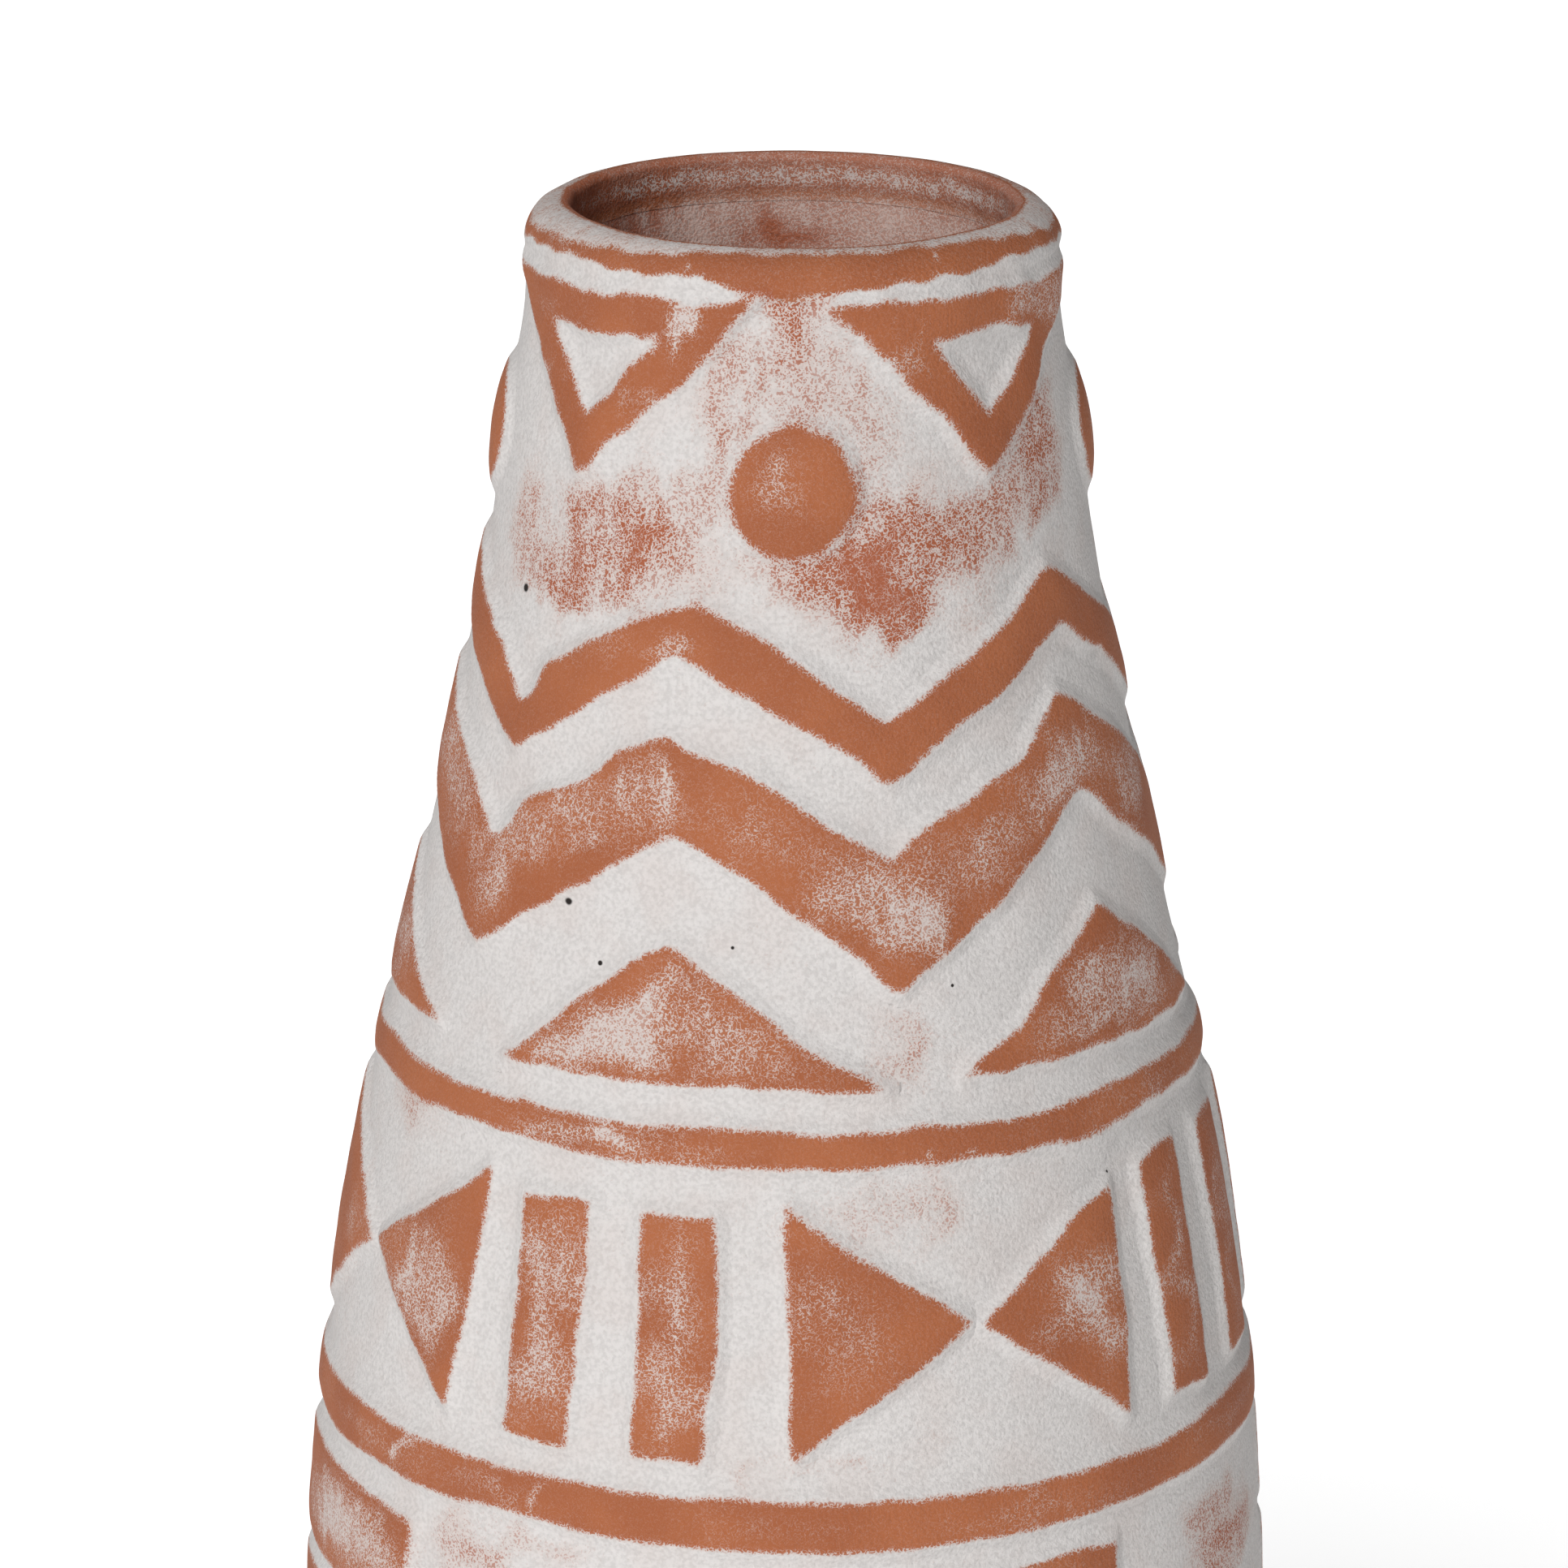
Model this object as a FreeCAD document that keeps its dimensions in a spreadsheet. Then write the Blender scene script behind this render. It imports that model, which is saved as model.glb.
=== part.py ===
import FreeCAD, Part
import os

import Sketcher

# Terracotta vase: a hollow wall with a floor, a turned foot ring and a rolled lip, and raised clay motifs in
# rows round the wall. Millimetres. The origin is the centre of the foot's resting plane, +Z runs up the axis,
# and angles are counted about +Z from the front, which is the -Y side.

STATIONS = ("seat", "throat", "collar", "nape", "shoulder", "slope", "flank", "belly", "hip", "waist", "calf",
            "ankle", "heel")

DIMENSIONS = {
    # Control points of the wall's outer curve, from the lip's seat down to the floor.
    "seat_height": 392.0, "seat_radius": 47.0,
    "throat_height": 380.0, "throat_radius": 46.5,
    "collar_height": 366.0, "collar_radius": 51.0,
    "nape_height": 344.0, "nape_radius": 52.5,
    "shoulder_height": 316.0, "shoulder_radius": 58.5,
    "slope_height": 284.0, "slope_radius": 65.0,
    "flank_height": 248.0, "flank_radius": 74.0,
    "belly_height": 208.0, "belly_radius": 82.0,
    "hip_height": 164.0, "hip_radius": 87.5,
    "waist_height": 118.0, "waist_radius": 89.5,
    "calf_height": 72.0, "calf_radius": 84.5,
    "ankle_height": 34.0, "ankle_radius": 73.5,
    "heel_height": 13.0, "heel_radius": 64.0,
    "wall_thickness": 7.5,
    "relief_height": 1.8,
    # Lip, floor and foot.
    "lip_inner_radius": 39.0,
    "lip_ridge_radius": 40.5,
    "lip_roll": 7.0,
    "lip_crown": 400.0,
    "foot_height": 5.0,
    "foot_radius": 58.0,
    "foot_width": 9.0,
    "foot_rounding": 1.5,
    "floor_radius": 60.5,
    # Every stamp reaches outwards past the widest part of the wall.
    "stamp_reach": 110.0,
    "fold": 4.0,
    "zigzag_fold": 5.0,
    # Triangular frames that hang under the lip.
    "neck_triangle_top": 390.8,
    "neck_triangle_tip": 360.5,
    "neck_triangle_half": 29.8,
    "neck_window_top": 384.0,
    "neck_window_tip": 370.0,
    "neck_window_half": 13.2,
    "neck_triangle_angle": 45.0,
    # Round dots between the frames.
    "dot_radius": 11.0,
    "dot_height": 360.0,
    # Zigzags: the height of each edge at a peak and at a trough, and half of one period's width.
    "upper_zigzag_crest": 340.3,
    "upper_zigzag_valley": 320.0,
    "upper_zigzag_under_crest": 330.5,
    "upper_zigzag_under_valley": 310.0,
    "upper_zigzag_half": 32.8,
    "upper_zigzag_under_half": 33.9,
    "lower_zigzag_crest": 317.5,
    "lower_zigzag_valley": 295.5,
    "lower_zigzag_under_crest": 301.0,
    "lower_zigzag_under_valley": 275.0,
    "lower_zigzag_half": 35.4,
    "lower_zigzag_under_half": 37.5,
    "base_zigzag_crest": 74.0,
    "base_zigzag_valley": 56.0,
    "base_zigzag_under_crest": 62.0,
    "base_zigzag_under_valley": 43.0,
    "base_zigzag_half": 50.3,
    "base_zigzag_under_half": 48.7,
    "zigzag_angle": 18.0,
    # Solid triangles under the zigzags and above the base.
    "shoulder_triangle_tip": 283.0,
    "shoulder_triangle_base": 258.3,
    "shoulder_triangle_half": 34.8,
    "shoulder_triangle_angle": -18.0,
    "base_triangle_tip": 81.0,
    "base_triangle_base": 107.0,
    "base_triangle_half": 42.0,
    "base_triangle_angle": 18.0,
    # Plain bands.
    "upper_band_bottom": 245.0,
    "upper_band_top": 251.2,
    "middle_band_bottom": 178.6,
    "middle_band_top": 187.2,
    "lower_band_bottom": 114.0,
    "lower_band_top": 122.4,
    # Pairs of triangles that point at each other, and the upright bars between the pairs.
    "bow_bottom": 193.8,
    "bow_top": 239.0,
    "bow_half": 16.0,
    "bow_east_angle": 11.4,
    "bow_west_angle": 35.6,
    "bar_bottom": 193.6,
    "bar_top": 236.8,
    "bar_half": 6.5,
    "bar_first_angle": 58.5,
    "bar_second_angle": 75.7,
    # Two stacked blocks under each bow.
    "block_upper_bottom": 153.0,
    "block_upper_top": 171.8,
    "block_lower_bottom": 129.0,
    "block_lower_top": 147.8,
    "block_half": 29.9,
    "block_angle": 22.5,
}

doc = FreeCAD.newDocument("vase")
sub_parts = []


def make_sheet():
    sheet = doc.addObject("Spreadsheet::Sheet", "dims")
    for row, (alias, value) in enumerate(DIMENSIONS.items(), start=1):
        sheet.set(f"A{row}", alias)
        sheet.set(f"B{row}", str(value))
        sheet.setAlias(f"B{row}", alias)
    doc.recompute()


def new_body(name):
    return doc.addObject("PartDesign::Body", name)


def new_sketch(body, name, role="XZ_Plane"):
    sketch = body.newObject("Sketcher::SketchObject", name)
    plane = next(feature for feature in body.Origin.OriginFeatures if feature.Role == role)
    sketch.AttachmentSupport = [(plane, "")]
    sketch.MapMode = "FlatFace"
    return sketch


def value_of(sketch, expression):
    return float(sketch.evalExpression(expression))


def bind(sketch, kind, geometry, point, expression, label):
    """Holds one coordinate of a sketch point at an expression of the driving dimensions."""
    value = value_of(sketch, expression)
    if value < 0:
        constraint = Sketcher.Constraint(kind, geometry, point, -1, 1, -value)
        expression = f"-({expression})"
    else:
        constraint = Sketcher.Constraint(kind, -1, 1, geometry, point, value)
    index = sketch.addConstraint(constraint)
    sketch.renameConstraint(index, label)
    sketch.setExpression(f"Constraints.{label}", expression)


def add_polygon(sketch, corners, label):
    """A closed outline whose corners are pairs of expressions."""
    points = [FreeCAD.Vector(value_of(sketch, x), value_of(sketch, y), 0) for x, y in corners]
    first = sketch.GeometryCount
    for start, end in zip(points, points[1:] + points[:1]):
        sketch.addGeometry(Part.LineSegment(start, end))
    count = len(corners)
    for i, (x, y) in enumerate(corners):
        sketch.addConstraint(Sketcher.Constraint("Coincident", first + i, 1, first + (i - 1) % count, 2))
        bind(sketch, "DistanceX", first + i, 1, x, f"{label}_x_{i}")
        bind(sketch, "DistanceY", first + i, 1, y, f"{label}_y_{i}")


def add_wall_curve(sketch, offset, label):
    """The wall's curve moved sideways by an expression, as a cubic B-spline held at its control points."""
    places = [(f"dims.{station}_radius + {offset}", f"dims.{station}_height") for station in STATIONS]
    poles = [FreeCAD.Vector(value_of(sketch, x), value_of(sketch, y), 0) for x, y in places]
    curve = sketch.addGeometry(Part.BSplineCurve(poles, None, None, False, 3, None, False))
    for i, (pole, (x, y)) in enumerate(zip(poles, places)):
        ring = sketch.addGeometry(Part.Circle(pole, FreeCAD.Vector(0, 0, 1), 1.0), True)
        sketch.addConstraint(
            Sketcher.Constraint("InternalAlignment:Sketcher::BSplineControlPoint", ring, 3, curve, i))
        sketch.addConstraint(Sketcher.Constraint("Weight", ring, 1.0))
        bind(sketch, "DistanceX", ring, 3, x, f"{label}_x_{i}")
        bind(sketch, "DistanceY", ring, 3, y, f"{label}_y_{i}")
    return curve, poles


def add_wall_section(sketch, inner, outer):
    """The closed section between two copies of the wall's curve."""
    inner_curve, inner_poles = add_wall_curve(sketch, inner, "inner")
    outer_curve, outer_poles = add_wall_curve(sketch, outer, "outer")
    for point, pole_index in ((1, 0), (2, -1)):
        line = sketch.addGeometry(Part.LineSegment(inner_poles[pole_index], outer_poles[pole_index]))
        sketch.addConstraint(Sketcher.Constraint("Coincident", line, 1, inner_curve, point))
        sketch.addConstraint(Sketcher.Constraint("Coincident", line, 2, outer_curve, point))


def revolve(body, sketch, name):
    turn = body.newObject("PartDesign::Revolution", name)
    turn.Profile = sketch
    turn.ReferenceAxis = (sketch, ["V_Axis"])
    turn.Angle = 360.0
    return turn


def finish(piece, label):
    piece.Label = label
    sub_parts.append(piece)
    return piece


def make_body_wall():
    body = new_body("wall_body")
    sketch = new_sketch(body, "wall_section")
    add_wall_section(sketch, "(-dims.wall_thickness)", "0")
    revolve(body, sketch, "wall_turn")
    finish(body, "body_wall")


def make_lip_roll():
    """A lip that is highest along the mouth and rolls over outwards, seated on the wall's top edge."""
    body = new_body("lip_body")
    sketch = new_sketch(body, "lip_section")
    inner, ridge = DIMENSIONS["lip_inner_radius"], DIMENSIONS["lip_ridge_radius"]
    roll, crown, seat = DIMENSIONS["lip_roll"], DIMENSIONS["lip_crown"], DIMENSIONS["seat_height"]
    outer, rounding = ridge + roll, ridge - inner
    slant = 0.5 ** 0.5
    inner_foot = FreeCAD.Vector(inner, seat, 0)
    outer_foot = FreeCAD.Vector(outer, seat, 0)
    outer_top = FreeCAD.Vector(outer, crown - roll, 0)
    outer_bend = FreeCAD.Vector(ridge + roll * slant, crown - roll + roll * slant, 0)
    peak = FreeCAD.Vector(ridge, crown, 0)
    inner_bend = FreeCAD.Vector(ridge - rounding * slant, crown - rounding + rounding * slant, 0)
    inner_top = FreeCAD.Vector(inner, crown - rounding, 0)
    flat = sketch.addGeometry(Part.LineSegment(inner_foot, outer_foot))
    outer_side = sketch.addGeometry(Part.LineSegment(outer_foot, outer_top))
    outer_arc = sketch.addGeometry(Part.Arc(outer_top, outer_bend, peak))
    inner_arc = sketch.addGeometry(Part.Arc(peak, inner_bend, inner_top))
    inner_side = sketch.addGeometry(Part.LineSegment(inner_top, inner_foot))
    sketch.addConstraint(Sketcher.Constraint("Coincident", flat, 2, outer_side, 1))
    sketch.addConstraint(Sketcher.Constraint("Tangent", outer_side, 2, outer_arc, 1))
    sketch.addConstraint(Sketcher.Constraint("Tangent", outer_arc, 2, inner_arc, 1))
    sketch.addConstraint(Sketcher.Constraint("Tangent", inner_arc, 2, inner_side, 1))
    sketch.addConstraint(Sketcher.Constraint("Coincident", inner_side, 2, flat, 1))
    sketch.addConstraint(Sketcher.Constraint("Horizontal", flat))
    sketch.addConstraint(Sketcher.Constraint("Vertical", outer_side))
    bind(sketch, "DistanceX", flat, 1, "dims.lip_inner_radius", "inner_x")
    bind(sketch, "DistanceY", flat, 1, "dims.seat_height", "seat")
    bind(sketch, "DistanceX", outer_arc, 3, "dims.lip_ridge_radius", "roll_x")
    bind(sketch, "DistanceY", outer_arc, 3, "dims.lip_crown - dims.lip_roll", "roll_y")
    bind(sketch, "DistanceX", outer_arc, 2, "dims.lip_ridge_radius", "peak_x")
    bind(sketch, "DistanceY", outer_arc, 2, "dims.lip_crown", "peak_y")
    revolve(body, sketch, "lip_turn")
    finish(body, "lip_roll")


def make_floor_slab():
    cone = doc.addObject("Part::Cone", "floor_cone")
    cone.setExpression("Radius1", "dims.floor_radius")
    cone.setExpression("Radius2", "dims.heel_radius")
    cone.setExpression("Height", "dims.heel_height - dims.foot_height")
    cone.setExpression("Placement.Base.z", "dims.foot_height")
    finish(cone, "floor_slab")


def make_foot_ring():
    body = new_body("foot_body")
    sketch = new_sketch(body, "foot_section")
    outer = "dims.foot_radius"
    inner = "dims.foot_radius - dims.foot_width"
    add_polygon(sketch, [(inner, "0"), (outer, "0"), (outer, "dims.foot_height"), (inner, "dims.foot_height")],
                "foot")
    turn = revolve(body, sketch, "foot_turn")
    doc.recompute()
    resting = [f"Edge{i}" for i, edge in enumerate(turn.Shape.Edges, start=1)
               if edge.BoundBox.ZMax < DIMENSIONS["foot_rounding"]]
    rounding = body.newObject("PartDesign::Fillet", "foot_fillet")
    rounding.Base = (turn, resting)
    rounding.setExpression("Radius", "dims.foot_rounding")
    finish(body, "foot_ring")


def make_relief_skin():
    """The thin layer on the wall that every raised motif is cut from."""
    body = new_body("skin_body")
    sketch = new_sketch(body, "skin_section")
    add_wall_section(sketch, "0", "dims.relief_height")
    revolve(body, sketch, "skin_turn")
    return body


def pad_towards_front(body, sketch, name):
    pad = body.newObject("PartDesign::Pad", name)
    pad.Profile = sketch
    pad.setExpression("Length", "dims.stamp_reach")
    return pad


def polygon_stamp(name, *outlines):
    """A block whose front outline is a polygon, with any further outlines as windows."""
    body = new_body(f"{name}_stamp")
    sketch = new_sketch(body, f"{name}_outline")
    for number, corners in enumerate(outlines):
        add_polygon(sketch, corners, f"outline_{number}")
    pad_towards_front(body, sketch, f"{name}_pad")
    return body


def rectangle(half, bottom, top):
    return [(f"-{half}", bottom), (half, bottom), (half, top), (f"-{half}", top)]


def triangle(half, base, tip):
    return [(f"-{half}", base), (half, base), ("0", tip)]


def zigzag_stamp(name):
    """One V of a zigzag, repeated round the axis."""
    half = f"dims.{name}_half"
    under_half = f"dims.{name}_under_half"
    corners = [(f"-{half}", f"dims.{name}_crest"), ("0", f"dims.{name}_valley"), (half, f"dims.{name}_crest"),
               (under_half, f"dims.{name}_under_crest"), ("0", f"dims.{name}_under_valley"),
               (f"-{under_half}", f"dims.{name}_under_crest")]
    body = polygon_stamp(name, corners)
    ring = body.newObject("PartDesign::PolarPattern", f"{name}_ring")
    ring.Originals = [body.Tip]
    axis = next(feature for feature in body.Origin.OriginFeatures if feature.Role == "Z_Axis")
    ring.Axis = (axis, [""])
    ring.Angle = 360.0
    ring.setExpression("Occurrences", "dims.zigzag_fold")
    body.Tip = ring
    return body


def dot_stamp():
    body = new_body("dot_stamp")
    sketch = new_sketch(body, "dot_outline")
    middle = FreeCAD.Vector(0, DIMENSIONS["dot_height"], 0)
    circle = sketch.addGeometry(Part.Circle(middle, FreeCAD.Vector(0, 0, 1), DIMENSIONS["dot_radius"]))
    sketch.addConstraint(Sketcher.Constraint("PointOnObject", circle, 3, -2))
    size = sketch.addConstraint(Sketcher.Constraint("Radius", circle, DIMENSIONS["dot_radius"]))
    sketch.renameConstraint(size, "size")
    sketch.setExpression("Constraints.size", "dims.dot_radius")
    bind(sketch, "DistanceY", circle, 3, "dims.dot_height", "middle")
    pad_towards_front(body, sketch, "dot_pad")
    return body


def ring_stamp(name):
    """A disc as thick as a band is wide."""
    disc = doc.addObject("Part::Cylinder", f"{name}_stamp")
    disc.setExpression("Radius", "dims.stamp_reach")
    disc.setExpression("Height", f"dims.{name}_top - dims.{name}_bottom")
    disc.setExpression("Placement.Base.z", f"dims.{name}_bottom")
    return disc


def raise_motif(stamp, skin, label, angle):
    """One raised motif: where a stamp meets the relief layer, turned to its place round the axis."""
    motif = doc.addObject("Part::Common", f"{label}_relief")
    motif.Base = stamp
    motif.Tool = skin
    motif.Placement = FreeCAD.Placement(FreeCAD.Vector(0, 0, 0), FreeCAD.Vector(0, 0, 1), 0)
    motif.setExpression("Placement.Rotation.Angle", angle)
    finish(motif, label)


def raise_row(stamp, skin, label, first_angle, fold, first_number=1):
    for i in range(int(DIMENSIONS[fold])):
        angle = f"{first_angle} + {i} * 360 / dims.{fold}"
        raise_motif(stamp, skin, f"{label}_{first_number + i}", angle)


def make_neck_motifs(skin):
    frame = polygon_stamp(
        "neck_triangle",
        triangle("dims.neck_triangle_half", "dims.neck_triangle_top", "dims.neck_triangle_tip"),
        triangle("dims.neck_window_half", "dims.neck_window_top", "dims.neck_window_tip"))
    raise_row(frame, skin, "neck_triangle", "dims.neck_triangle_angle", "fold")
    raise_row(dot_stamp(), skin, "dot", "0", "fold")


def make_zigzags(skin):
    for name in ("upper_zigzag", "lower_zigzag", "base_zigzag"):
        raise_motif(zigzag_stamp(name), skin, name, "dims.zigzag_angle")


def make_solid_triangles(skin):
    for name in ("shoulder_triangle", "base_triangle"):
        stamp = polygon_stamp(name, triangle(f"dims.{name}_half", f"dims.{name}_base", f"dims.{name}_tip"))
        raise_row(stamp, skin, name, f"dims.{name}_angle", "zigzag_fold")


def make_bands(skin):
    for name in ("upper_band", "middle_band", "lower_band"):
        raise_motif(ring_stamp(name), skin, name, "0")


def make_bows(skin):
    middle = "(dims.bow_bottom + dims.bow_top) / 2"
    for name, side, point in (("bow_east", "-", ""), ("bow_west", "", "-")):
        corners = [(f"{side}dims.bow_half", "dims.bow_bottom"), (f"{point}dims.bow_half", middle),
                   (f"{side}dims.bow_half", "dims.bow_top")]
        raise_row(polygon_stamp(name, corners), skin, name, f"dims.{name}_angle", "fold")


def make_bars(skin):
    stamp = polygon_stamp("bar", rectangle("dims.bar_half", "dims.bar_bottom", "dims.bar_top"))
    raise_row(stamp, skin, "bar", "dims.bar_first_angle", "fold")
    raise_row(stamp, skin, "bar", "dims.bar_second_angle", "fold", int(DIMENSIONS["fold"]) + 1)


def make_blocks(skin):
    for name in ("block_upper", "block_lower"):
        stamp = polygon_stamp(name, rectangle("dims.block_half", f"dims.{name}_bottom", f"dims.{name}_top"))
        raise_row(stamp, skin, name, "dims.block_angle", "fold")


def check_model():
    for item in doc.Objects:
        if "Invalid" in item.State or "Error" in item.State:
            raise RuntimeError(f"{item.Label} failed: {item.State}")
    for piece in sub_parts:
        shape = piece.Shape
        if shape.isNull() or not shape.isValid() or len(shape.Solids) != 1:
            raise RuntimeError(f"{piece.Label} is not one sound solid")


def write_files():
    os.makedirs("parts", exist_ok=True)
    for piece in sub_parts:
        piece.Shape.exportStep(f"parts/{piece.Label}.step")
        print(piece.Label, round(piece.Shape.Volume), "mm3")


make_sheet()
make_body_wall()
make_lip_roll()
make_floor_slab()
make_foot_ring()
relief_skin = make_relief_skin()
make_neck_motifs(relief_skin)
make_zigzags(relief_skin)
make_solid_triangles(relief_skin)
make_bands(relief_skin)
make_bows(relief_skin)
make_bars(relief_skin)
make_blocks(relief_skin)
doc.recompute()
check_model()
write_files()
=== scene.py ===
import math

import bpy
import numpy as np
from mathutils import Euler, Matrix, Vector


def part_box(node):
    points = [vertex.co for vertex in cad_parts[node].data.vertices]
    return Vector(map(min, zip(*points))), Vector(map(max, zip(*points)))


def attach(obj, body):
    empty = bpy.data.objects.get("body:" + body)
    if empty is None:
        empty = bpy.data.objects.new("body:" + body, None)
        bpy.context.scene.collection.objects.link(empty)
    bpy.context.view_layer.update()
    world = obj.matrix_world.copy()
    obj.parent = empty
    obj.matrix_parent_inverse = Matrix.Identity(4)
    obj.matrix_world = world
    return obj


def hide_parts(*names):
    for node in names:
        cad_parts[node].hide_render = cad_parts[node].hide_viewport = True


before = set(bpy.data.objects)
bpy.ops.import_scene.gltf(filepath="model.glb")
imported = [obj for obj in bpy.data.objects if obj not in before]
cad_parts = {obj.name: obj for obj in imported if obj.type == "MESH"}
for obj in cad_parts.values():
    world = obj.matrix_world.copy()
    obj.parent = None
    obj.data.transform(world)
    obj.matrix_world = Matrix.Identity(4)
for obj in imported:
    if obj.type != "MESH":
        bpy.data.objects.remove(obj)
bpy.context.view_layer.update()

# A terracotta vase with raised geometric motifs under a worn white slip, seen from slightly above.
#
# Lengths are millimetres and angles are degrees unless a name says otherwise; meshes are made in metres.
# Angles run about +Z from the front (-Y), positive towards +X, as in the CAD frame.

MM = 0.001
ROOT = "root"
TURN = 2 * math.pi

# ---------------------------------------------------------------------------------------------------------
# Numbers that shape the clay and its slip
# ---------------------------------------------------------------------------------------------------------
RELIEF = 1.2            # how far a raised face stands out from the wall
FLANK = 3.0             # width of the sloping side outside a face's edge
SHOULDER = 0.5          # width of the rounding inside a face's edge
SKIRT = 0.02            # how far a relief's rim dips under the wall's surface
BACK = 0.9              # depth of a relief's hidden back under the wall's surface
HEM = 1.4               # width of a relief's hidden margin outside its flank
RELIEF_STEP = 0.75      # spacing of a relief's vertices
WALL_STEP = 1.7         # spacing of the wall's vertices
GIRTH = 470.0           # typical length round the vase, which sets how many ripples fit
SLIP_FULL = 1.28        # slip cover that hides the clay everywhere
SLIP_NONE = -0.24       # slip cover that leaves no slip at all
LIP_BARE = -0.14        # slip cover of the lip's rubbed outer edge
WASH_SHARE = 0.95       # how much of the inside's colour is the wash's own
WASH_COVER = 0.72       # usual cover of the inside's wash
WASH_TOP_LOSS = 0.75    # how much of the wash is missing near the wall's top
STREAK_SQUEEZE = 0.3    # width of a wiped streak as a share of its length
SPOT_SWAY = 1.6         # how far a soft spot's outline strays sideways, in degrees
SPOT_LIFT = 1.3         # how far it strays upwards
SPOT_FLATNESS = 1.15    # above 1 a soft spot has a flatter middle and a sharper edge
RESIDUE_MOST = 0.95     # the most slip that stays on a raised face
WIPED_EDGE = 1.6        # width of the cleaner strip along a face's edge
GROOVE_HEIGHT = 2.6     # usual height of the white groove under the lip, above the wall's top
GROOVE_FADE = 1.4       # height over which its upper edge fades
BAND_DEPTH = 4.2        # how far under the lip's crown the white band inside the mouth lies
BAND_HALF_WIDTH = 1.9
CROWN_OUTER_EDGE = 65   # where the white on the lip's crown ends outwards, in degrees round its section
CROWN_INNER_EDGE = 87   # where it ends inwards
WALL_WAVES = ((0.16, 70, 60), (0.07, 22, 61), (0.025, 7, 62))   # the wall's swells: size, length and seed
FLANK_CURVE = 1.2       # above 1 a flank is hollower at its foot than at its top
WALL_GIRTH = 517.0      # length round the wall that sets how many columns its mesh has
DRIFT_ROOM = 4.0        # room round a motif's outline for its drift
RING_REACH = 150        # a motif that reaches this many degrees from its middle runs all round the vase
FACE_LEAST = 0.9        # a CAD face that stands out more than this from the wall is a raised face
OUTWARD_SHARE = 0.5     # how squarely a CAD face must face outwards to count as the wall's outside
PROFILE_LEVELS = 76     # heights at which the wall's radius is read
FOOT_WIDTH = 9.0        # how wide the foot ring is
FOOT_EDGE = 1.5         # rounding of its lower edges
RECESS_EDGE = 3.5       # how far the floor's underside stops short of its edge

# Worn places in the white slip: angle, height, half width in degrees, half height, and how far it is worn.
WORN = (
    (0, 381, 15, 13, 0.46), (-1, 390, 6, 7, 0.42), (-13, 380, 6, 6, 0.12), (-13.5, 367, 5, 11, 0.3),
    (-20, 355, 7, 8, 0.28), (-36, 347, 14, 12, 0.52), (-30, 351, 4, 13, 0.38), (-45, 349, 5, 13, 0.4),
    (-62, 347, 9, 11, 0.56), (-53, 339, 9, 6, 0.34), (-44, 337, 6, 6, 0.3), (-1, 346, 9, 5, 0.5),
    (14, 343, 10, 9, 0.78), (17, 338, 8, 5, 0.34), (19, 352, 10, 8, 0.42), (33, 350, 15, 9, 0.42),
    (44, 354, 12, 10, 0.38), (58, 359, 9, 10, 0.7), (62, 367, 8, 8, 0.35), (14, 360, 5, 8, 0.32),
    (16, 374, 5, 8, 0.26), (2, 360, 52, 30, 0.2), (28, 338, 14, 6, 0.25), (-26, 344, 14, 8, 0.2),
    (12, 237, 12, 8, 0.42), (21, 236, 2, 8, 0.3), (8, 194, 8, 2.5, 0.4), (19, 198, 3, 3, 0.36),
    (17, 264, 5.5, 8, 0.52), (-40, 170, 8, 7, 0.62), (-30, 175, 6, 3, 0.4), (66, 160, 13, 8, 0.82),
    (62, 170, 11, 6, 0.3), (-64, 242, 8, 8, 0.5), (-4, 192, 4, 2, 0.4), (16, 318, 5, 3, 0.25),
    (-76, 215, 5, 20, 0.3), (128, 352, 11, 8, 0.72), (140, 344, 16, 8, 0.4), (150, 378, 8, 7, 0.55),
    (172, 344, 9, 6, 0.66), (205, 358, 10, 8, 0.66), (218, 350, 16, 10, 0.4), (236, 349, 9, 8, 0.7),
    (262, 382, 8, 7, 0.55), (110, 240, 7, 4, 0.4), (160, 166, 10, 8, 0.7), (250, 158, 10, 8, 0.7),
    (200, 238, 7, 4, 0.4), (300, 165, 9, 7, 0.55), (30, 100, 12, 7, 0.6), (140, 96, 12, 7, 0.6),
    (-60, 92, 12, 6, 0.6), (200, 100, 10, 6, 0.45), (0, 28, 40, 10, 0.5), (100, 24, 30, 10, 0.5),
    (190, 32, 35, 9, 0.45), (280, 26, 30, 9, 0.5), (-27, 262, 1.5, 3, 0.3), (118, 205, 6, 10, 0.3),
    (188, 210, 7, 9, 0.35),
)

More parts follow.
